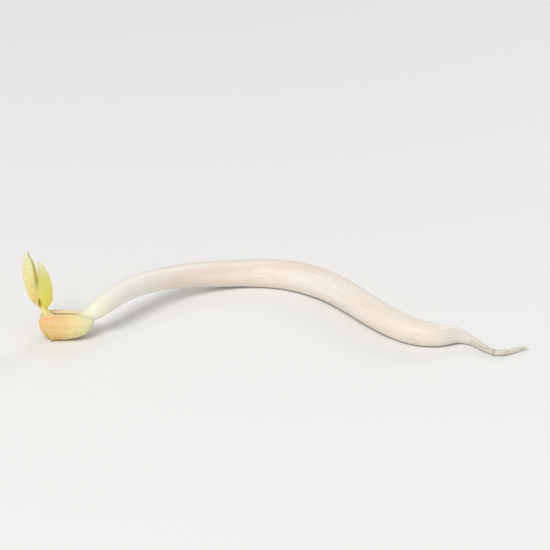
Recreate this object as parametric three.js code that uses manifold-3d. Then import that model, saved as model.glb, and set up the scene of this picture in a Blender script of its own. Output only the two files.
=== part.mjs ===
// A mung bean sprout lying on a flat surface, as closed solids. Millimetres, +Z up.
//
// The grown axis is one piece: the root thread, the white stem, the node that the two seed
// halves sit on, and the thin shoot that rises out between them and ends in a bud. Two seed
// halves (cotyledons) hold the shoot like a clothes peg, and two folded first leaves stand
// on it. The sprout rests on the undersides of the seed halves and on two stretches of its
// bent stem, which are flattened a little where they touch.
import * as THREE from "three";
import { mergeVertices } from "three/addons/utils/BufferGeometryUtils.js";
import Module from "manifold-3d";

const wasm = await Module();
wasm.setup();

// ---- Driving dimensions ----

const CLEARANCE = 0.1; // between neighbouring pieces
const FLAT_DEPTH = 0.08; // how far a resting underside is flattened

// The axis from root tip to bud: where it runs, how far its underside is above the
// surface, and its radius.
const station = (x, y, lift, radius) => ({ x, y, lift, radius });
const ROOT = [
  station(44.9, -3.3, 0.3, 0.1),
  station(44.2, -3.5, 0.14, 0.2),
  station(43.0, -4.1, 0.03, 0.27),
  station(41.6, -4.5, 0.0, 0.31),
  station(40.4, -3.5, 0.02, 0.35),
  station(39.4, -2.2, 0.06, 0.46),
];
const STEM = [
  station(37.8, -1.5, 0.08, 0.8),
  station(35.6, -2.0, -0.02, 1.15),
  station(33.3, -1.5, -0.08, 1.36),
  station(31.0, 0.3, -0.03, 1.5),
  station(28.8, 2.9, 0.06, 1.58),
  station(26.7, 5.9, 0.12, 1.62),
  station(24.0, 9.2, 0.08, 1.62),
  station(20.6, 11.7, -0.03, 1.58),
  station(16.8, 12.6, -0.08, 1.5),
  station(13.1, 11.9, 0.25, 1.42),
  station(9.6, 10.1, 1.0, 1.34),
  station(6.4, 7.5, 1.75, 1.24),
  station(3.7, 4.5, 2.3, 1.19),
  station(1.7, 1.8, 2.3, 1.12),
];
const SHOOT = [
  station(0.2, 0.2, 1.95, 0.92),
  station(-1.1, 0.0, 1.65, 0.56),
  station(-2.4, 0.0, 1.45, 0.42),
  station(-3.8, 0.0, 1.5, 0.38),
  station(-4.75, 0.0, 2.05, 0.37),
  station(-5.15, 0.0, 2.8, 0.36),
  station(-5.35, 0.0, 3.6, 0.28),
  station(-5.5, 0.0, 4.5, 0.12),
];
const AXIS_ROWS_PER_STATION = 4;
const AXIS_SIDES = 16;

const SEED_HALF_LENGTH = 5.7;
const SEED_HALF_HEIGHT = 2.75;
const SEED_HALF_THICKNESS = 1.35; // from the plane of the rim out to the round back
const SEED_HALF_RIM = 0.22; // how far the rounded rim stands in from its plane
const SEED_HALF_DISH = 0.2; // how far the inner face is hollowed
const SEED_HALF_STRAIGHT = 0.62; // 0 is an oval outline, 1 a straight upper edge
const SEED_HALF_SLOPE = 0.14; // how much lower the node end is than the free end
const SEED_HALF_PLACE = { x: -2.85, apart: 0.38, z: 1.4 };
const SEED_HALF_ROLL = 3; // degrees, the cleft opens upwards
const SEED_HALF_YAW = 3; // degrees, the cleft opens towards the free end

const LEAF_BASE = { x: -5.25, z: 3.25, apart: 0.5 }; // apart: from the middle to each leaf
const LEAF_THICKNESS = 0.6;
const LEAF_BASE_POWER = 0.75; // a higher power points that end of the blade more
const LEAF_TIP_POWER = 0.85;
const LEAF_ROUNDING = 0.35; // how softly the midrib is folded
const LEAF_WAVE = 0.12; // how far the edges wave to either side
// A leaf's fold is in degrees, between a half blade and the plane that the leaves face in.
const LEFT_LEAF = { length: 6.5, width: 1.73, fold: 30, bow: 0.75, lean: 0.8, waves: 2.2 };
const RIGHT_LEAF = { length: 5.4, width: 1.92, fold: 50, bow: 0.65, lean: -0.75, waves: 1.8 };

// ---- Helpers ----

const radians = THREE.MathUtils.degToRad;
const smooth = (x) => THREE.MathUtils.smoothstep(x, 0, 1);

// A closed geometry as a solid: coinciding corners are merged and collapsed faces dropped.
function solidOf(geometry) {
  const bare = geometry.clone();
  bare.deleteAttribute("normal");
  bare.deleteAttribute("uv");
  const merged = mergeVertices(bare, 1e-4);
  const corners = merged.index.array;
  const kept = [];
  for (let i = 0; i < corners.length; i += 3) {
    const [a, b, c] = corners.subarray(i, i + 3);
    if (a !== b && b !== c && c !== a) kept.push(a, b, c);
  }
  const vertProperties = merged.attributes.position.array;
  return new wasm.Manifold(
    new wasm.Mesh({ numProp: 3, vertProperties, triVerts: new Uint32Array(kept) }),
  );
}

function geometryOf(solid) {
  const { vertProperties, triVerts } = solid.getMesh();
  return new THREE.BufferGeometry()
    .setAttribute("position", new THREE.BufferAttribute(vertProperties, 3))
    .setIndex(new THREE.BufferAttribute(triVerts, 1));
}

// The largest body of a solid that a cut has left in pieces.
function largestOf(solid) {
  return solid.decompose().reduce((a, b) => (b.volume() > a.volume() ? b : a));
}

// Moves every corner of a geometry: `place` gets the corner and returns its new place.
function shaped(geometry, place) {
  const corners = geometry.getAttribute("position");
  const corner = new THREE.Vector3();
  for (let i = 0; i < corners.count; i += 1) {
    const moved = place(corner.fromBufferAttribute(corners, i));
    corners.setXYZ(i, moved.x, moved.y, moved.z);
  }
  return geometry;
}

// Everything under the surface that the sprout lies on, seen from a placed mesh.
function groundUnder(matrix) {
  const depth = 10;
  const ground = new THREE.BoxGeometry(200, 200, depth).translate(0, 0, -depth / 2);
  return solidOf(ground.applyMatrix4(matrix.clone().invert()));
}

function part(name, geometry, colour, roughness) {
  const material = new THREE.MeshStandardMaterial({ color: colour, roughness, metalness: 0 });
  const mesh = new THREE.Mesh(geometry, material);
  mesh.name = name;
  return mesh;
}

// ---- The grown axis ----

// A round bar along the stations, made `extra` thicker all over. A straight lathe of unit
// radius is carried along a curve through the stations: its height picks the place on the
// curve, and a frame that never twists turns its rings square to the curve.
function axisSolid(extra) {
  const stations = [...ROOT, ...STEM, ...SHOOT];
  const middle = ({ x, y, lift, radius }) => new THREE.Vector3(x, y, lift + radius);
  const route = new THREE.CatmullRomCurve3(stations.map(middle), false, "centripetal");
  const girth = new THREE.CatmullRomCurve3(
    stations.map(({ radius }) => new THREE.Vector3(radius, 0, 0)),
    false,
    "catmullrom",
    0.5,
  );
  const rows = AXIS_ROWS_PER_STATION * (stations.length - 1);
  const frames = [];
  let across = new THREE.Vector3(0, 0, 1);
  for (let row = 0; row <= rows; row += 1) {
    const along = route.getTangent(row / rows);
    across = across.clone().addScaledVector(along, -across.dot(along)).normalize();
    const side = new THREE.Vector3().crossVectors(along, across);
    const centre = route.getPoint(row / rows);
    const radius = girth.getPoint(row / rows).x + extra;
    frames.push({ centre, across, side, radius });
  }
  const profile = frames.map((_, row) => new THREE.Vector2(1, row));
  profile.unshift(new THREE.Vector2(0, 0));
  profile.push(new THREE.Vector2(0, rows));
  const bar = new THREE.LatheGeometry(profile, AXIS_SIDES);
  return solidOf(
    shaped(bar, ({ x, y, z }) => {
      const { centre, across: up, side, radius } = frames[Math.round(y)];
      return centre
        .clone()
        .addScaledVector(side, x * radius)
        .addScaledVector(up, z * radius);
    }),
  );
}

// The axis with its clearance, seen from a placed mesh: what a neighbour is cut back from.
function shootSeenFrom(matrix) {
  return solidOf(geometryOf(axisSolid(CLEARANCE)).applyMatrix4(matrix.clone().invert()));
}

function grownAxis() {
  const ground = groundUnder(new THREE.Matrix4());
  return part("stem_with_root", geometryOf(axisSolid(0).subtract(ground)), 0xf8efe0, 0.35);
}

// ---- The seed halves ----

// Half a bean with its node end towards +X. `side` is 1 with its round back towards +Y and
// -1 with it towards -Y. A ball's poles lie on X, and each ring of it becomes a D: round
// outside, and inside a rounded rim round a hollow. The rings hang from a nearly straight
// upper edge, as a boat's ribs do.
function seedHalfGeometry(side) {
  const tallest = SEED_HALF_HEIGHT / 2;
  const ball = new THREE.SphereGeometry(1, 32, 18).rotateZ(Math.PI / 2);
  return shaped(ball, ({ x, y, z }) => {
    const ring = Math.hypot(y, z) || 1;
    const up = z / ring;
    const out = (side * y) / ring;
    const full = Math.sqrt(Math.max(0, 1 - Math.abs(x) ** 3));
    const tall = tallest * full * (1 - SEED_HALF_SLOPE * x);
    const hang = SEED_HALF_STRAIGHT * (tallest - tall);
    const back = SEED_HALF_THICKNESS * Math.max(out, 0);
    const rim = SEED_HALF_RIM * smooth(-out / 0.4);
    const dish = (SEED_HALF_RIM + SEED_HALF_DISH) * smooth((-out - 0.4) / 0.6);
    return new THREE.Vector3(
      (SEED_HALF_LENGTH / 2) * x,
      side * full * (back - rim + dish),
      hang + tall * up,
    );
  });
}

// The half is turned into place and let down until its underside sinks in by the depth of
// its flat.
function seedHalf(name, side) {
  const geometry = seedHalfGeometry(side);
  const mesh = part(name, geometry, 0xf3cd85, 0.5);
  mesh.rotation.set(radians(-side * SEED_HALF_ROLL), 0, radians(-side * SEED_HALF_YAW));
  mesh.position.set(SEED_HALF_PLACE.x, side * SEED_HALF_PLACE.apart, SEED_HALF_PLACE.z);
  const lowest = new THREE.Box3().setFromObject(mesh, true).min.z;
  mesh.position.z -= lowest + FLAT_DEPTH;
  mesh.updateMatrix();
  const half = solidOf(geometry)
    .subtract(shootSeenFrom(mesh.matrix))
    .subtract(groundUnder(mesh.matrix));
  mesh.geometry = geometryOf(largestOf(half));
  return mesh;
}

// ---- The first leaves ----

// A blade's half width along its length: 1 at its widest, 0 at both ends.
function bladeOutline(along) {
  const lance = (at) => at ** LEAF_BASE_POWER * (1 - at) ** LEAF_TIP_POWER;
  return lance(along) / lance(LEAF_BASE_POWER / (LEAF_BASE_POWER + LEAF_TIP_POWER));
}

// A blade that stands on its base and faces -X, towards its partner: lance-shaped, folded
// along its midrib, and waved along its edges. A ball's poles become base and tip, its
// widest meridians the two edges, and its front and back the two faces.
function leafGeometry({ length, width, fold: degrees, bow, lean, waves }) {
  const fold = radians(degrees);
  const ball = new THREE.SphereGeometry(1, 20, 22).rotateX(Math.PI / 2);
  return shaped(ball, ({ x, y, z }) => {
    const along = (1 + z) / 2;
    const ring = Math.hypot(x, y) || 1;
    const edge = Math.sign(y) * Math.abs(y / ring) ** 0.8;
    const face = Math.sign(x) * Math.abs(x / ring) ** 0.6;
    const half = width * bladeOutline(along) * edge;
    const folded = Math.hypot(half, LEAF_ROUNDING) - LEAF_ROUNDING;
    const slope = half / Math.hypot(half, LEAF_ROUNDING);
    const thick = (LEAF_THICKNESS / 2) * Math.min(1, Math.sqrt(1 - z * z) / 0.45) * face;
    const wave = LEAF_WAVE * edge * edge * Math.sin(2 * Math.PI * waves * along);
    const offset = thick + wave;
    const tilt = Math.atan2(slope * Math.cos(fold), Math.sin(fold));
    return new THREE.Vector3(
      4 * bow * along * (1 - along) + lean * along - folded * Math.cos(fold) + offset * Math.cos(tilt),
      half * Math.sin(fold) + offset * Math.sin(tilt),
      length * along,
    );
  });
}

// `side` is -1 for the leaf towards -X and 1 for the leaf towards +X.
function firstLeaf(name, side, shape, colour) {
  const geometry = leafGeometry(shape);
  const mesh = part(name, geometry, colour, 0.45);
  mesh.rotation.z = side < 0 ? Math.PI : 0;
  mesh.position.set(LEAF_BASE.x + side * LEAF_BASE.apart, 0, LEAF_BASE.z);
  mesh.updateMatrix();
  mesh.geometry = geometryOf(largestOf(solidOf(geometry).subtract(shootSeenFrom(mesh.matrix))));
  return mesh;
}

// ---- The sprout ----

const sprout = new THREE.Group();
sprout.add(
  grownAxis(),
  seedHalf("cotyledon_front", -1),
  seedHalf("cotyledon_back", 1),
  firstLeaf("first_leaf_left", -1, LEFT_LEAF, 0xf0d874),
  firstLeaf("first_leaf_right", 1, RIGHT_LEAF, 0xf5dd3c),
);

// The origin is under the middle of the whole sprout, on the surface that it lies on.
const middle = new THREE.Box3().setFromObject(sprout, true).getCenter(new THREE.Vector3());
sprout.position.set(-middle.x, -middle.y, 0);

export default sprout;
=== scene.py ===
# %% [markdown]
# # A mung bean sprout
# A sprout is a seedling a few days old: a white, juicy stem with a root thread at one end, and
# at the other the two halves of the seed, with a short shoot and two folded leaves between
# them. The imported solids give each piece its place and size. This lesson makes the living
# surface of each one, as a formula on a grid, and then its colours and its gloss.

import bpy
import numpy as np
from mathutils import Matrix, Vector


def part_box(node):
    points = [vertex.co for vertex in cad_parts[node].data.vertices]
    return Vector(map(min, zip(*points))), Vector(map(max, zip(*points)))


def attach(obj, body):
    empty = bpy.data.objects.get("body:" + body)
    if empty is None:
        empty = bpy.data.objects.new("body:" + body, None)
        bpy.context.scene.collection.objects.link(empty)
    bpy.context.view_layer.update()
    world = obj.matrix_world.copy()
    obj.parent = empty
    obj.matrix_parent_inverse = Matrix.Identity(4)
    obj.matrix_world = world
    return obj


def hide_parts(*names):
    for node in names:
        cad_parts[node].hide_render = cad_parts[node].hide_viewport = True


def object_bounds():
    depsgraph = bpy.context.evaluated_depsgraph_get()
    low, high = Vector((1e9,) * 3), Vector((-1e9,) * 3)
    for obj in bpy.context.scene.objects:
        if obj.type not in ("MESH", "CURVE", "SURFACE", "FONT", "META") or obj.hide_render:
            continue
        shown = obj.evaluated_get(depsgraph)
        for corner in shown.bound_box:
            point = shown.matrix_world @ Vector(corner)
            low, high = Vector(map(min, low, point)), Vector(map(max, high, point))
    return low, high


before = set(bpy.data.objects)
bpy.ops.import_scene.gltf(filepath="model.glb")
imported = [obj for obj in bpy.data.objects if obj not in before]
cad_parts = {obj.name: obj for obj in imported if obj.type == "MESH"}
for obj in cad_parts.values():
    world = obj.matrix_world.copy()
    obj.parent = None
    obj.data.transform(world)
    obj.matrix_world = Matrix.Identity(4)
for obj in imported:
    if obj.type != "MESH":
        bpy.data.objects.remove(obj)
cad_low, cad_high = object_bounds()
MM = 0.001
print("nodes:", sorted(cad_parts))
print("box in mm:", [round(v / MM, 2) for v in (*cad_low, *cad_high)])

# %% [markdown]
# ## Grids that close
# Every piece here is a skin round a solid, so one helper serves them all. A grid of places has
# rows along the piece and columns round it. The columns join into rings, and the first and
# last rows shrink to one point, so no hole is left. Modelling by hand with a subdivision
# surface would also do, but a formula can be given wrinkles and veins at any scale.

# %% Faces of a grid
def grid_faces(rows, columns):
    """Quads between neighbouring rings, and triangles from each pole to the ring beside it."""
    here = np.arange(columns)
    after = np.roll(here, -1)
    ring = 1 + columns * np.arange(rows - 3)[:, None]
    above = ring + columns
    sides = np.stack([ring + here, ring + after, above + after, above + here], -1)
    last = 1 + columns * (rows - 2)
    last_ring = last - columns
    first_cap = np.stack([np.zeros(columns, int), 1 + after, 1 + here], -1)
    last_cap = np.stack([np.full(columns, last), last_ring + here, last_ring + after], -1)
    return sides.reshape(-1, 4).tolist() + first_cap.tolist() + last_cap.tolist()


def volume_inside(grid):
    """A sixth of the sum of the triple products of all triangles, two to a quad.

    It is above 0 when the faces point outwards."""
    beside = np.roll(grid, -1, 1)
    here, right, far, above = grid[:-1], beside[:-1], beside[1:], grid[1:]
    total = np.einsum("ijk,ijk->", np.cross(here, right), far)
    total += np.einsum("ijk,ijk->", np.cross(here, far), above)
    return total / 6


# %% Put a grid into a mesh
def skin(name, grid, notes):
    """A closed mesh object from a grid of places in metres, shaped (rows, columns, 3).

    Each note is an array of one number or three for each place, kept as an attribute that a
    material can read."""
    def flat(values):
        inner = values[1:-1].reshape(-1, *values.shape[2:])
        return np.concatenate([values[0, :1], inner, values[-1, :1]])

    faces = grid_faces(*grid.shape[:2])
    mesh = bpy.data.meshes.new(name)
    mesh.from_pydata(flat(grid).tolist(), [], faces)
    for key, values in notes.items():
        wide = values.ndim == 3
        layer = mesh.attributes.new(key, "FLOAT_VECTOR" if wide else "FLOAT", "POINT")
        layer.data.foreach_set("vector" if wide else "value", flat(values).ravel())
    mesh.shade_smooth()
    piece = bpy.data.objects.new(name, mesh)
    bpy.context.collection.objects.link(piece)
    print(name, len(faces), "faces,", round(volume_inside(grid) / MM**3, 2), "mm3 inside")
    return piece


# %% [markdown]
# ## Relief
# Skin that grew is never even: it swells, wrinkles and dents at several widths at once. Smooth
# random heights, added up in layers from wide to narrow, give that. A sculpting brush would do
# too, but a formula can be stretched along the grain and gives the same result each time.

# %% Random relief
LATTICE = 32


def smooth(value, low=0.0, high=1.0):
    """0 below low, 1 above high, and 3w^2 - 2w^3 between."""
    weight = np.clip((value - low) / (high - low), 0, 1)
    return weight * weight * (3 - 2 * weight)


def lumps(places, size, seed):
    """Smooth random relief from -1 to 1, with lumps `size` wide.

    Random heights stand on the corners of a cubic lattice. A place takes the heights of the
    eight corners round it, each weighted by 3w^2 - 2w^3 along each side of the cell."""
    heights = np.random.default_rng(seed).uniform(-1, 1, (LATTICE, LATTICE, LATTICE))
    cell = np.floor(places / size).astype(int)
    weight = smooth(places / size - cell)
    total = np.zeros(places.shape[:-1])
    for corner in np.ndindex(2, 2, 2):
        share = np.prod(np.where(corner, weight, 1 - weight), axis=-1)
        at = (cell + corner) % LATTICE
        total += share * heights[at[..., 0], at[..., 1], at[..., 2]]
    return total


def relief(places, layers, seed):
    """The sum of layers of lumps, each with its height, the stretch of its grain and its width."""
    numbered = enumerate(layers, seed)
    return sum(height * lumps(places * grain, width, k) for k, (height, grain, width) in numbered)


# %% [markdown]
# ## The line that everything grew along
# Root, stem and shoot are one body with one middle line. The stations below are the solids'
# own: where the line runs, how far the underside is above the table, and the radius there, in
# millimetres. A curve goes through them all. Its corners are then eased a little, because a
# growing stem has no sudden change of bend. A curve object with a bevel would give a tube as
# well, but no say over each ring.

# %% Stations from root tip to bud
ROOT = [
    (44.9, -3.3, 0.3, 0.1),
    (44.2, -3.5, 0.14, 0.2),
    (43.0, -4.1, 0.03, 0.27),
    (41.6, -4.5, 0.0, 0.31),
    (40.4, -3.5, 0.02, 0.35),
    (39.4, -2.2, 0.06, 0.46),
]
STEM = [
    (37.8, -1.5, 0.08, 0.8),
    (35.6, -2.0, -0.02, 1.15),
    (33.3, -1.5, -0.08, 1.36),
    (31.0, 0.3, -0.03, 1.5),
    (28.8, 2.9, 0.06, 1.58),
    (26.7, 5.9, 0.12, 1.62),
    (24.0, 9.2, 0.08, 1.62),
    (20.6, 11.7, -0.03, 1.58),
    (16.8, 12.6, -0.08, 1.5),
    (13.1, 11.9, 0.25, 1.42),
    (9.6, 10.1, 1.0, 1.34),
    (6.4, 7.5, 1.75, 1.24),
    (3.7, 4.5, 2.3, 1.19),
    (1.7, 1.8, 2.3, 1.12),
]
SHOOT = [
    (0.2, 0.2, 1.95, 0.92),
    (-1.1, 0.0, 1.65, 0.56),
    (-2.4, 0.0, 1.45, 0.42),
    (-3.8, 0.0, 1.5, 0.38),
    (-4.75, 0.0, 2.05, 0.37),
    (-5.15, 0.0, 2.8, 0.36),
    (-5.35, 0.0, 3.6, 0.28),
    (-5.5, 0.0, 4.5, 0.12),
]
stations = np.array(ROOT + STEM + SHOOT)
middles = np.column_stack([stations[:, :2], stations[:, 2] + stations[:, 3]])
print(len(stations), "stations")


# %% A curve through points
def through(points, pace, steps):
    """A Catmull-Rom curve through the points, `steps` places to a span.

    The time between two points is their distance to the power `pace`. A span's end speeds
    are those of the parabolas through three neighbouring points, and the span is the cubic
    that has these ends and speeds."""
    ends = np.vstack([2 * points[0] - points[1], points, 2 * points[-1] - points[-2]])
    times = np.linalg.norm(np.diff(ends, axis=0), axis=1) ** pace
    before, here, after = (times[k : len(times) - 2 + k, None] for k in range(3))
    p0, p1, p2, p3 = (ends[k : len(ends) - 3 + k] for k in range(4))
    speed1 = here * ((p1 - p0) / before - (p2 - p0) / (before + here) + (p2 - p1) / here)
    speed2 = here * ((p2 - p1) / here - (p3 - p1) / (here + after) + (p3 - p2) / after)
    w = np.linspace(0, 1, steps, endpoint=False)[:, None, None]
    square = 3 * p2 - 3 * p1 - 2 * speed1 - speed2
    cubic = 2 * p1 - 2 * p2 + speed1 + speed2
    spans = p1 + w * (speed1 + w * (square + w * cubic))
    return np.vstack([spans.transpose(1, 0, 2).reshape(-1, points.shape[1]), points[-1:]])


def eased(values, reach, step):
    """Each value becomes the mean of its neighbours, weighted by a bell curve `reach` wide.

    Past each end the values run on straight, so the ends stay where they are."""
    side = int(4 * reach / step)
    weights = np.exp(-0.5 * (np.arange(-side, side + 1) * step / reach) ** 2)
    weights /= weights.sum()
    lead_in = np.linspace(2 * values[0] - values[side], values[0], side, endpoint=False)
    lead_out = np.linspace(values[-1], 2 * values[-1] - values[-1 - side], side + 1)[1:]
    line = np.concatenate([lead_in, values, lead_out])
    return np.stack([np.convolve(column, weights, "valid") for column in line.T], 1)


def read_off(places, known, values):
    """Straight-line values at those places, for each column of the known values."""
    return np.column_stack([np.interp(places, known, column) for column in values.T])


# %% The middle line and its girth
STEPS = 40
STATION_PACE, GIRTH_PACE = 0.5, 0.0
LINE_EASE, GIRTH_EASE = 0.35, 0.25
EVEN_PLACES = 700
line = through(middles, STATION_PACE, STEPS)
girth = through(stations[:, 3:], GIRTH_PACE, STEPS)
walked = np.concatenate([[0], np.cumsum(np.linalg.norm(np.diff(line, axis=0), axis=1))])
LENGTH = walked[-1]
ROOT_END = walked[STEPS * (len(ROOT) - 1)]
NODE_AT = walked[STEPS * (len(ROOT) + len(STEM))]
even = np.linspace(0, LENGTH, EVEN_PLACES)
line = eased(read_off(even, walked, line), LINE_EASE, even[1])
girth = eased(read_off(even, walked, girth), GIRTH_EASE, even[1])
print("root ends at", round(ROOT_END, 1), "mm, node at", round(NODE_AT, 1), "of", round(LENGTH, 1))

# %% Rows, closer on the wrinkled root and closest at the two tips
ROW_STEP, ROOT_STEP = 0.09, 0.045
CAP, CAP_ROWS = 0.12, 8
cap_rows = CAP * (1 - np.cos(np.linspace(0, np.pi / 2, CAP_ROWS)))
root_rows = np.arange(CAP + ROOT_STEP, ROOT_END, ROOT_STEP)
stem_rows = np.arange(ROOT_END, LENGTH - CAP - ROW_STEP / 2, ROW_STEP)
along = np.concatenate([cap_rows, root_rows, stem_rows, LENGTH - cap_rows[::-1]])
line = read_off(along, even, line)
girth = read_off(along, even, girth)[:, 0]
print(len(along), "rows")

# %% [markdown]
# ## Root, stem and shoot
# A tube along the line needs a frame at each step: the way on, the way up and the way to the
# side. The line never runs straight up, so the world's up is a safe guide. Each ring is
# a circle with a little ovality, soft swellings, and wrinkles on the root. Where the stem
# lies on the table its underside is pressed flat.

# %% Carry rings along the line
ROUND = 72
onward = np.gradient(line, axis=0)
onward /= np.linalg.norm(onward, axis=1, keepdims=True)
sideways = np.cross([0.0, 0.0, 1.0], onward)
sideways /= np.linalg.norm(sideways, axis=1, keepdims=True)
upward = np.cross(onward, sideways)
turn = -np.linspace(0, 2 * np.pi, ROUND, endpoint=False)


def ring_places(radius):
    """Middle line plus radius times (cosine of the turn up, sine of the turn sideways)."""
    up = np.cos(turn)[None, :, None] * upward[:, None]
    side = np.sin(turn)[None, :, None] * sideways[:, None]
    return line[:, None] + radius[..., None] * (up + side)


plain = ring_places(np.repeat(girth[:, None], ROUND, 1))
node_low, node_high = (np.array(corner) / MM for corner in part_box("stem_with_root"))
shift = (node_low + node_high) / 2 - (plain.min((0, 1)) + plain.max((0, 1))) / 2
shift[2] = 0
print("the head's origin lies at", np.round(shift, 2), "mm in the frame")

# %% The stem's surface
SWELLINGS = [(0.028, 1, 5.0), (0.012, 1, 1.7)]
WRINKLES = [(0.045, (1, 1, 0.7), 0.5), (0.025, 1, 0.22)]
WRINKLES_THIN_OUT_BELOW = 0.3
WRINKLES_END = (ROOT_END - 0.8, ROOT_END + 2.2)
OVAL, OVAL_TWIST = 0.025, 0.22
thick = girth[:, None]
straight = np.stack(
    [thick * np.cos(turn), thick * np.sin(turn), np.repeat(along[:, None], ROUND, 1)], -1
)
rootness = 1 - smooth(along, *WRINKLES_END)[:, None]
oval = OVAL * thick * np.cos(2 * turn + OVAL_TWIST * along[:, None])
swelling = relief(straight, SWELLINGS, 3) * (1 - rootness)
wrinkles = relief(straight, WRINKLES, 5) * np.minimum(thick / WRINKLES_THIN_OUT_BELOW, 1)
to_tip = np.minimum(along, along[-1] - along)
closing = np.sqrt(np.clip(1 - (1 - np.clip(to_tip / girth, 0, 1)) ** 2, 0, 1))
radius = (thick + oval + swelling + wrinkles * rootness) * closing[:, None]
stem_places = ring_places(radius) + shift
stem_places[..., 2] = np.maximum(stem_places[..., 2], 0)
stem = skin("stem", stem_places * MM, {"straight": straight})

# %% [markdown]
# ## The seed halves
# Each half of the bean was a store of food, now partly used up: round outside, hollowed
# inside, with a rounded rim and shallow wrinkles. Rings hang from a nearly straight upper edge
# like a boat's ribs, so one formula gives both halves and the side decides which way they
# bulge. The front one keeps a small brown point, what is left of the seed's scar.

# %% Sizes of a seed half
HALF_LENGTH, HALF_HEIGHT, HALF_THICKNESS = 5.7, 2.75, 1.35
HALF_RIM, HALF_DISH, RIM_ROLL = 0.22, 0.2, 0.4
HALF_STRAIGHT, HALF_SLOPE = 0.62, 0.14
HALF_MIDDLE, HALF_APART = -2.85, 0.38
HALF_ROLL, HALF_YAW = np.radians(3), np.radians(3)
HALF_ROWS, HALF_COLUMNS = 190, 200
FLAT_DEPTH = 0.08
DENTS = [(0.07, (0.8, 1, 1), 1.5), (0.03, (0.6, 1, 1.2), 0.5)]
CREASE_DEPTH, CREASE_WIDTH, CREASE_SPACING = 0.035, 0.2, 0.9
CREASE_GRAIN, CREASE_WANDER, WANDER_WIDTH = (0.45, 1, 1.1), 0.3, 1.3
POINT_ALONG, POINT_OUT = (-0.52, 0.075), (0.45, 0.3)
POINT_PULL = np.array([-0.12, -0.34, -0.02])


def turned(places, roll, yaw):
    """The places turned by yaw about Z and then by roll about X."""
    x, y, z = np.moveaxis(places, -1, 0)
    x, y = x * np.cos(yaw) - y * np.sin(yaw), x * np.sin(yaw) + y * np.cos(yaw)
    y, z = y * np.cos(roll) - z * np.sin(roll), y * np.sin(roll) + z * np.cos(roll)
    return np.stack([x, y, z], -1)


def bell(value, middle, width):
    """1 at the middle, falling off as the exponential of minus the distance squared."""
    return np.exp(-(((value - middle) / width) ** 2))


# %% Shape of a seed half
def seed_half(name, node, side, seed):
    """Half a bean, with its node end towards +X and its round back towards `side` of Y.

    Along it, x is the cosine of an angle from 0 to pi and the fullness is the root of
    1 - |x|^3. Round it, the height is the sine of the turn. The depth is the cosine times the
    thickness outside, and inside a rim that rolls in and then a hollow."""
    angle = np.linspace(np.pi, 0, HALF_ROWS)[:, None]
    ring = np.linspace(0, 2 * np.pi, HALF_COLUMNS, endpoint=False)[None, :]
    x = np.cos(angle) + 0 * ring
    up = np.sin(ring) * side + 0 * angle
    out = np.cos(ring) + 0 * angle
    full = np.sqrt(np.clip(1 - np.abs(x) ** 3, 0, 1))
    tallest = HALF_HEIGHT / 2
    tall = tallest * full * (1 - HALF_SLOPE * x)
    rim = HALF_RIM * smooth(-out / RIM_ROLL)
    dish = (HALF_RIM + HALF_DISH) * smooth((-out - RIM_ROLL) / (1 - RIM_ROLL))
    deep = full * (HALF_THICKNESS * np.maximum(out, 0) - rim + dish)
    height = HALF_STRAIGHT * (tallest - tall) + tall * up
    places = np.stack([HALF_LENGTH / 2 * x, side * deep, height], -1)
    away = np.stack([0 * x, side * out, up], -1) * full[..., None]
    wander = CREASE_WANDER * lumps(places, WANDER_WIDTH, seed + 3)[..., None]
    furrow = np.abs(lumps(places * CREASE_GRAIN + wander, CREASE_SPACING, seed + 2))
    creases = CREASE_DEPTH * (1 - smooth(furrow, 0, CREASE_WIDTH))
    places = places + away * (relief(places, DENTS, seed) - creases)[..., None]
    point = bell(x, *POINT_ALONG) * bell(out, *POINT_OUT) * smooth(-up) * (side < 0)
    places = turned(places + point[..., None] * POINT_PULL, -side * HALF_ROLL, -side * HALF_YAW)
    places += [HALF_MIDDLE, side * HALF_APART, 0]
    places[..., 2] -= places[..., 2].min() + FLAT_DEPTH
    places[..., 2] = np.maximum(places[..., 2], 0)
    notes = {"rim": bell(out, 0, 0.3), "towards_node": x, "inside": smooth(-out, 0.1, 0.5)}
    piece = skin(name, (places + shift) * MM, notes | {"up": up, "nib": point})
    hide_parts(node)
    return piece


front_half = seed_half("seed_half_front", "cotyledon_front", -1, 11)
back_half = seed_half("seed_half_back", "cotyledon_back", 1, 21)

# %% [markdown]
# ## The first leaves
# They were folded flat inside the seed and still are half folded, each along its midrib, with
# its hollow side towards the other. A blade is a thin closed skin: the ring of each row runs
# out along one face and back along the other. Veins are relief: a keel along the fold and
# pairs of side veins that slant to the edge, with soft cushions between them. A flat plane
# with Solidify would be quicker, but its edge would be square and its veins only painted.

# %% Sizes of a first leaf
LEAF_X, LEAF_Z, LEAF_APART = -5.25, 3.25, 0.5
BASE_POWER, TIP_POWER = 0.75, 0.85
LEAF_ROUNDING, LEAF_WAVE, BLADE = 0.35, 0.12, 0.3
LEAF_ROWS, LEAF_COLUMNS = 220, 220
EDGE_POWER, FACE_POWER = 0.8, 0.6
THIN_TOWARDS_ENDS, THICK_MIDDLE = 0.45, 1.3
VEINS, VEIN_WIDTH, VEIN_HEIGHT, CUSHION_HEIGHT = 9, 0.085, 0.03, 0.026
MIDRIB_WIDTH, MIDRIB_HEIGHT = 0.11, 0.085
RUFFLE, RUFFLE_WIDTH, SWAY, SWAY_WIDTH = 0.05, 0.7, 0.03, 1.6
STALK_APART, STALK_END = 0.2, 0.16


def lance(at):
    """A blade's half width along it: its base power times its tip power, 1 at its widest."""
    def shape(a):
        return a**BASE_POWER * (1 - a) ** TIP_POWER
    return shape(at) / shape(BASE_POWER / (BASE_POWER + TIP_POWER))


def powered(value, power):
    """The value's size to a power, with its sign kept."""
    return np.sign(value) * np.abs(value) ** power


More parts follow.
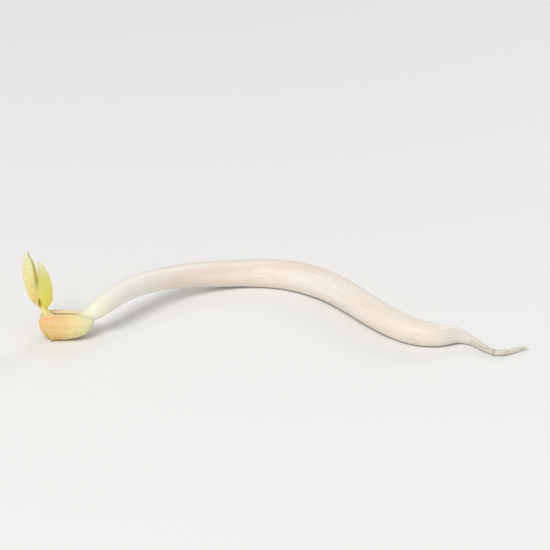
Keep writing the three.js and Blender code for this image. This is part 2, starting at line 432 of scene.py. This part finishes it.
# %% Veins
def leaf_veins(at, edge, half):
    """Side veins and midrib from 0 to 1, and the cushions between them from -1 to 1.

    A count of veins rises along the blade and falls with the distance from the midrib and its
    cube, so its whole numbers slant up to the edge. A side vein is a bell halfway between two
    of them, and a cushion is the cosine of the count."""
    out = np.abs(edge)
    count = VEINS * (at - 0.16 * out - 0.1 * out**3 + 0.006 * np.sin(17 * at) * edge)
    side_vein = bell(count % 1, 0.5, VEIN_WIDTH) * smooth(at, 0.04, 0.16)
    side_vein *= (1 - smooth(out, 0.7, 0.95)) * (1 - smooth(at, 0.8, 0.97))
    midrib = bell(half, 0, MIDRIB_WIDTH) * (1 - 0.7 * at)
    cushion = np.cos(2 * np.pi * count) * 4 * out * (1 - out)
    return side_vein, midrib, cushion


# %% Shape of a first leaf
def first_leaf(name, node, side, length, width, fold, bow, lean, waves, seed):
    """A blade on its base, folded towards its partner on the other side of X.

    A place has a height along the blade, a distance from the midrib and a face. The fold is
    the root of distance squared plus rounding squared, and each face stands off from it by
    half a thickness, plus the edge's wave and the relief of the veins."""
    rise = 0.5 - 0.5 * np.cos(np.linspace(0, np.pi, LEAF_ROWS))[:, None]
    ring = np.linspace(0, 2 * np.pi, LEAF_COLUMNS, endpoint=False)[None, :]
    at = rise + 0 * ring
    edge = powered(np.sin(ring), EDGE_POWER) + 0 * rise
    face = powered(np.cos(ring), FACE_POWER) + 0 * rise
    out = np.abs(edge)
    half = width * lance(at) * edge
    folded = np.hypot(half, LEAF_ROUNDING) - LEAF_ROUNDING
    slope = half / np.hypot(half, LEAF_ROUNDING)
    tilt = np.arctan2(slope * np.cos(fold), np.sin(fold))
    fullness = np.sqrt(np.clip(1 - (2 * at - 1) ** 2, 0, 1))
    body = np.clip(fullness / THIN_TOWARDS_ENDS, 0, 1)
    side_vein, midrib, cushion = leaf_veins(at, edge, half)
    veins = (MIDRIB_HEIGHT * midrib + VEIN_HEIGHT * side_vein) * face + CUSHION_HEIGHT * cushion
    spread = np.stack([half, at * length, 0 * at], -1)
    wave = LEAF_WAVE * edge**2 * np.sin(2 * np.pi * waves * at)
    wave += RUFFLE * out**2 * lumps(spread, RUFFLE_WIDTH, seed)
    wave += SWAY * lumps(spread, SWAY_WIDTH, seed + 1)
    offset = body * (BLADE / 2 * face * (THICK_MIDDLE - out) + veins)
    offset += wave * smooth(1 - at, 0, 0.3)
    stalk = (LEAF_APART - STALK_APART) * (1 - smooth(at, 0.0, STALK_END))
    middle = 4 * bow * at * (1 - at) + lean * at - stalk
    x = middle - folded * np.cos(fold) + offset * np.cos(tilt)
    y = half * np.sin(fold) + offset * np.sin(tilt)
    places = np.stack([side * x, side * y, length * at], -1)
    places += [LEAF_X + side * LEAF_APART, 0, LEAF_Z]
    notes = {"up_blade": at, "to_edge": out, "vein": np.maximum(side_vein * 0.6, midrib)}
    piece = skin(name, (places + shift) * MM, notes)
    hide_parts(node)
    return piece


left_leaf = first_leaf(
    "leaf_left", "first_leaf_left", -1, 6.5, 1.73, np.radians(30), 0.75, 0.8, 2.2, 31
)
right_leaf = first_leaf(
    "leaf_right", "first_leaf_right", 1, 5.4, 1.92, np.radians(50), 0.65, -0.75, 1.8, 41
)

# %% [markdown]
# ## Shader sums in Python
# A material's nodes are sums about a surface. A socket in a small wrapper makes those sums
# readable: `1 - mask` adds a Math node. Colours go through Mix nodes, and any other node
# comes from one method.

# %% Colours and sums
def colour(code):
    """A colour written as on the web, as the linear numbers that shaders use."""
    parts = np.array([int(code[k : k + 2], 16) for k in (0, 2, 4)]) / 255
    linear = np.where(parts <= 0.04045, parts / 12.92, ((parts + 0.055) / 1.055) ** 2.4)
    return (*linear.tolist(), 1.0)


class Value:
    """An output socket that adds Math nodes when it is used in a sum."""

    def __init__(self, finish, socket):
        self.finish = finish
        self.socket = socket

    def maths(self, operation, *values, clamp=False):
        settings = {"operation": operation, "use_clamp": clamp}
        return self.finish.node("Math", settings, dict(enumerate(values)))

    def __add__(self, other):
        return self.maths("ADD", self, other)

    def __sub__(self, other):
        return self.maths("SUBTRACT", self, other)

    def __rsub__(self, other):
        return self.maths("SUBTRACT", other, self)

    def __mul__(self, other):
        return self.maths("MULTIPLY", self, other)

    def clamped(self):
        return self.maths("ADD", self, 0.0, clamp=True)

    __radd__ = __add__
    __rmul__ = __mul__


# %% A finish under construction
class Finish:
    """A material with its Principled shader at the end."""

    def __init__(self, name, **constants):
        self.material = bpy.data.materials.new(name)
        self.material.use_nodes = True
        self.tree = self.material.node_tree
        self.shader = self.tree.nodes["Principled BSDF"]
        for socket, value in constants.items():
            self.shader.inputs[socket.replace("_", " ")].default_value = value

    def node(self, kind, settings=None, inputs=None, output=0):
        """Adds a node: its settings first, then a link or a value for each named input."""
        made = self.tree.nodes.new("ShaderNode" + kind)
        for key, value in (settings or {}).items():
            setattr(made, key, value)
        for key, value in (inputs or {}).items():
            self.plug(made.inputs[key], value)
        return Value(self, made.outputs[output])

    def plug(self, socket, value):
        if isinstance(value, Value):
            self.tree.links.new(value.socket, socket)
        else:
            socket.default_value = value

    def drive(self, socket, value):
        self.plug(self.shader.inputs[socket], value)

    def note(self, name):
        return self.node("Attribute", {"attribute_name": name}, output="Fac")

    def note_vector(self, name, scale=(1, 1, 1)):
        place = self.node("Attribute", {"attribute_name": name}, output="Vector")
        return self.node("Mapping", inputs={"Vector": place, "Scale": scale})

    def object_place(self, scale):
        place = self.node("TexCoord", output="Object")
        return self.node("Mapping", inputs={"Vector": place, "Scale": (scale, scale, scale)})

    def noise(self, place, scale, detail=2.0, roughness=0.5):
        inputs = {"Vector": place, "Scale": scale, "Detail": detail, "Roughness": roughness}
        return self.node("TexNoise", inputs=inputs)

    def between(self, value, low, high, start=0.0, end=1.0):
        """Runs smoothly from start at low to end at high, and stays there beyond."""
        settings = {"interpolation_type": "SMOOTHSTEP"}
        inputs = {"Value": value, 1: low, 2: high, 3: start, 4: end}
        return self.node("MapRange", settings, inputs)

    def mix(self, share, first, second):
        """A colour on the way from first to second."""
        settings = {"data_type": "RGBA", "blend_type": "MIX"}
        return self.node("Mix", settings, {0: share, 6: first, 7: second}, output=2)

    def tint(self, base, share, code):
        """The base with a share of the colour of that code over it."""
        return self.mix(share, base, colour(code))

    def bump(self, height, distance, strength):
        inputs = {"Height": height, "Distance": distance, "Strength": strength}
        self.drive("Normal", self.node("Bump", inputs=inputs))

    def wear(self, piece, slot):
        piece.data.materials.clear()
        piece.data.materials.append(self.material)
        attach(piece, "root")
        print(piece.name, "wears", self.material.name, "of", len(self.tree.nodes), "nodes")


# %% [markdown]
# ## The stem's finish
# The stem is water in a thin skin, so light sinks in and comes out nearby: subsurface
# scattering, with a reach of about a millimetre. Its colour runs along it: a grey brown on
# the root thread, then ivory with a faint blush, and a greenish cream near the seed halves.
# Its patterns read the place on the stem as if it had been pulled straight, so that fibres
# follow every bend. An unwrapped UV map would stretch them where the stem thins.

# %% Stem patterns
flesh = Finish("sprout_stem", Subsurface_Weight=0.8, Subsurface_Scale=MM, IOR=1.38)
flesh.shader.inputs["Subsurface Radius"].default_value = (1.0, 0.85, 0.7)


def stem_noise(across, lengthwise, detail=2.0, roughness=0.5):
    """Noise with so many lumps to a millimetre across the stem and along it."""
    place = flesh.note_vector("straight", (across, across, lengthwise))
    return flesh.noise(place, 1.0, detail, roughness)


reach = flesh.node("SeparateXYZ", inputs={0: flesh.note_vector("straight")}, output=2)
streaks = stem_noise(0.7, 0.09, 3.0)
fibres = stem_noise(5.5, 0.3, 3.0, 0.6)
wavering = reach + (streaks - 0.5) * 2.5

# %% Ivory flesh with a blush
tone = flesh.tint(colour("ede6dc"), flesh.between(streaks, 0.3, 0.7), "e6dacd")
warm = flesh.between(stem_noise(0.12, 0.07) + (streaks - 0.5) * 0.5, 0.42, 0.7)
tone = flesh.tint(tone, warm * 0.55, "e9d0c0")
tone = flesh.tint(tone, flesh.between(fibres, 0.4, 0.75) * 0.45, "f6f3ec")

# %% Colours along the stem, shoot and bud
tan = flesh.between(wavering, ROOT_END + 3.0, ROOT_END + 6.0)
tan = tan * (1 - flesh.between(wavering, ROOT_END + 9.0, ROOT_END + 18.0))
tone = flesh.tint(tone, tan * 0.4, "e3d8c8")
cool = flesh.between(wavering, NODE_AT - 13.0, NODE_AT - 6.0)
tone = flesh.tint(tone, cool * 0.8, "ebeae3")
green = flesh.between(wavering, NODE_AT - 3.0, NODE_AT + 0.2)
tone = flesh.tint(tone, green * 0.5, "e6e6c2")
shoot = flesh.between(reach, NODE_AT + 0.2, NODE_AT + 2.6)
tone = flesh.tint(tone, shoot, "f8e3b0")
bud = flesh.between(reach, NODE_AT + 5.2, NODE_AT + 6.6)
tone = flesh.tint(tone, bud, "f0e07a")
glassy = 1 - flesh.between(wavering, ROOT_END + 1.0, ROOT_END + 5.0)
tone = flesh.tint(tone, glassy * 0.7, "e0ded7")
marks = flesh.between(stem_noise(1.1, 0.45, 3.0, 0.55), 0.66, 0.76)
tone = flesh.tint(tone, marks * 0.35, "d9b187")

# %% The root thread, and the stem's gloss
thread = 1 - flesh.between(reach + (streaks - 0.5), ROOT_END - 1.6, ROOT_END + 1.4)
dried = flesh.between(stem_noise(4.0, 0.7, 3.0, 0.6), 0.35, 0.65)
tone = flesh.mix(thread, tone, flesh.tint(colour("dbd7cd"), dried, "bdb5a6"))
kinks = flesh.between(stem_noise(0.5, 0.9), 0.5, 0.7)
tone = flesh.tint(tone, thread * kinks * 0.5, "94897a")
flesh.drive("Base Color", tone)
flesh.drive("Roughness", flesh.between(fibres, 0.3, 0.7, 0.28, 0.4) + thread * 0.35)
flesh.bump(fibres * 0.8 + stem_noise(14.0, 3.0, 2.0, 0.6) * 0.3, 0.04 * MM, 0.6)
flesh.wear(stem, "stem")
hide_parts("stem_with_root")

# %% [markdown]
# ## The seed halves' finish
# The backs are a mealy yellow that deepens to amber towards the far end, with olive painted shade
# on their undersides. Rims and hollows are pale cream, painted lighter still to lift the shade in
# the hollow, and near the node the halves turn a soft green. Each colour is laid over the last by
# a mask from the attributes, made uneven by clouds, because a straight border would look painted.

# %% Seed half masks
bean = Finish("sprout_seed_half", Subsurface_Weight=0.55, Subsurface_Scale=0.7 * MM, IOR=1.4)
bean.shader.inputs["Subsurface Radius"].default_value = (1.0, 0.65, 0.3)
place = bean.object_place(1 / MM)
clouds = bean.noise(place, 0.7, 4.0, 0.6)
grains = bean.noise(place, 9.0, 3.0, 0.6)
up = bean.note("up")
to_node = bean.note("towards_node") + (clouds - 0.5) * 0.7
deep = bean.between(up * -0.7 - to_node * 0.6 + (clouds - 0.5), 0.0, 1.1)
# Painted shade mask: the lower side of each half, where shade falls.
painted_shade_below = bean.between(up * -1.0 + (clouds - 0.5) * 0.4, 0.5, 1.0)
blush = bean.between(up * 0.7 - to_node * 0.7, 0.45, 1.2)
edge = bean.between(bean.note("rim") + (clouds - 0.5) * 0.8, 0.5, 1.2)
flecks = bean.between(bean.noise(place, 3.4, 2.0, 0.5), 0.69, 0.77)

# %% Seed half colours, from the ground up
body = bean.tint(colour("e9d09a"), bean.between(clouds, 0.35, 0.68), "e0bc74")
body = bean.tint(body, deep * 0.85, "e4ac3e")
body = bean.tint(body, blush * 0.6, "ecb08a")
body = bean.tint(body, bean.between(grains, 0.45, 0.75) * 0.3, "fdeac2")
# Pale cream on the inner faces, painted lighter still as painted light that lifts the shade in the
# hollow.
body = bean.tint(body, bean.note("inside") * 0.9, "fbf3d6")
body = bean.tint(body, bean.between(to_node, -0.35, 0.4) * 0.6, "efe4ae")
body = bean.tint(body, bean.between(to_node, 0.3, 0.95) * 0.9, "e2e6ba")
# Pale cream on the rims, partly painted light that lifts the shade at the hollow's edge.
body = bean.tint(body, edge * 0.55, "fae6c8")
# Olive painted shade along the undersides of the seed halves.
body = bean.tint(body, painted_shade_below * 0.7, "b5a666")
body = bean.tint(body, flecks * 0.5, "b5773a")
body = bean.tint(body, bean.between(bean.note("nib"), 0.35, 0.9) * 0.9, "6d4c26")
bean.drive("Base Color", body)
bean.drive("Roughness", bean.between(clouds, 0.3, 0.7, 0.32, 0.5))
bean.bump(clouds * 0.5 + grains * 0.3, 0.12 * MM, 0.7)
bean.wear(front_half, "cotyledon")
bean.wear(back_half, "cotyledon")

# %% [markdown]
# ## The leaves' finish
# Grown in the dark, the leaves have no green yet but for a breath of it at their tips: they
# are a clear yellow, warmer at the base, with paler veins. The main veins are in the mesh, and
# the fine net between them is the edges of Voronoi cells, which join up as real veins do.

# %% Leaf finish
def leaf_finish(name, low, high, tip):
    """Yellow from low to high to tip, with pale veins and a net of fine ones."""
    blade = Finish(name, Subsurface_Weight=0.8, Subsurface_Scale=0.8 * MM, IOR=1.4)
    blade.shader.inputs["Subsurface Radius"].default_value = (1.0, 0.9, 0.3)
    place = blade.object_place(1 / MM)
    clouds = blade.noise(place, 0.9, 3.0, 0.55)
    grains = blade.noise(place, 12.0)
    bent = blade.node("VectorMath", {"operation": "ADD"}, {0: place, 1: (clouds - 0.5) * 0.25})
    cells = {"Vector": bent, "Scale": 5.0}
    to_cell_edge = blade.node("TexVoronoi", {"feature": "DISTANCE_TO_EDGE"}, cells)
    net = 1 - blade.between(to_cell_edge, 0.0, 0.12)
    up = blade.note("up_blade") + (clouds - 0.5) * 0.35
    tone = blade.tint(colour(low), blade.between(up, 0.0, 0.55), high)
    tone = blade.tint(tone, blade.between(up, 0.5, 0.98), tip)
    tone = blade.tint(tone, (blade.note("vein") * 0.5 + net * 0.14).clamped(), "fdf6bc")
    tone = blade.tint(tone, blade.between(blade.note("to_edge"), 0.8, 1.0) * 0.3, "dcc04a")
    blade.drive("Base Color", tone)
    blade.drive("Roughness", blade.between(clouds, 0.3, 0.7, 0.34, 0.48))
    blade.bump(net * 0.3 + grains * 0.5, 0.04 * MM, 0.6)
    return blade


leaf_finish("sprout_leaf_left", "fcc468", "fce29a", "dcdebc").wear(left_leaf, "leaf")
leaf_finish("sprout_leaf_right", "ffe65c", "fff076", "f4f2b4").wear(right_leaf, "leaf")

# %% [markdown]
# ## Table and light
# A white thing on a white table is drawn by its shadows, so the light is soft but has a side:
# a wide lamp over the left shoulder, a weaker one behind that lights the leaves through, a
# faint one low on the right, and an even pale world for the rest. One bright sky alone would
# be simpler, but it would leave the stem without an underside.

# %% Table
TABLE, TABLE_DROP = 1.5, 0.01 * MM
corners = [(-TABLE, -TABLE), (TABLE, -TABLE), (TABLE, TABLE), (-TABLE, TABLE)]
table_mesh = bpy.data.meshes.new("table_top")
table_mesh.from_pydata([(x, y, -TABLE_DROP) for x, y in corners], [], [(0, 1, 2, 3)])
table = bpy.data.objects.new("table_top", table_mesh)
bpy.context.collection.objects.link(table)
pale = Finish("table_pale", Roughness=0.6)
pale.shader.inputs["Base Color"].default_value = colour("f1f0ee")
table_mesh.materials.append(pale.material)
print("table", 2 * TABLE, "m wide")

# %% Light
LAMPS = {
    "window": ((-0.2, -0.33, 0.46), 2.2),
    "back_light": ((0.25, 0.5, 0.3), 0.7),
    "fill": ((0.34, -0.32, 0.16), 0.2),
}
LAMP_SIZE = 0.25
WORLD_STRENGTH = 0.44


def soft_lamp(name, place, power):
    """A square lamp at that place in metres, facing the sprout."""
    data = bpy.data.lights.new(name, "AREA")
    data.size = LAMP_SIZE
    data.energy = power
    lamp = bpy.data.objects.new(name, data)
    lamp.location = place
    lamp.rotation_euler = (-Vector(place)).to_track_quat("-Z", "Y").to_euler()
    bpy.context.collection.objects.link(lamp)
    print(name, "of", power, "W")


for lamp_name, (lamp_place, lamp_power) in LAMPS.items():
    soft_lamp(lamp_name, lamp_place, lamp_power)
world = bpy.data.worlds.new("studio")
world.use_nodes = True
world.node_tree.nodes["Background"].inputs["Color"].default_value = (1, 1, 1, 1)
world.node_tree.nodes["Background"].inputs["Strength"].default_value = WORLD_STRENGTH
scene = bpy.context.scene
scene.world = world
scene.view_settings.view_transform = "Standard"

# %% [markdown]
# ## Camera
# A long lens from a quarter of the way up to overhead flattens the curve of the stem the way
# the eye sees a small thing on a table. It looks at the middle of the solids' box, from as far
# as lets the box fill most of the width.

# %% Camera
ELEVATION = np.radians(25)
LENS, SENSOR = 150.0, 36.0
SHARE_OF_WIDTH = 0.9
CLIP_START = 0.01
distance = (cad_high.x - cad_low.x) / SHARE_OF_WIDTH * LENS / SENSOR
aim = (cad_low + cad_high) / 2
lens = bpy.data.cameras.new("camera")
lens.lens = LENS
lens.sensor_width = SENSOR
lens.clip_start = CLIP_START
camera = bpy.data.objects.new("camera", lens)
camera.location = aim + distance * Vector((0, -np.cos(ELEVATION), np.sin(ELEVATION)))
camera.rotation_euler = (aim - camera.location).to_track_quat("-Z", "Y").to_euler()
bpy.context.collection.objects.link(camera)
scene.camera = camera
print("camera", round(distance, 3), "m away")
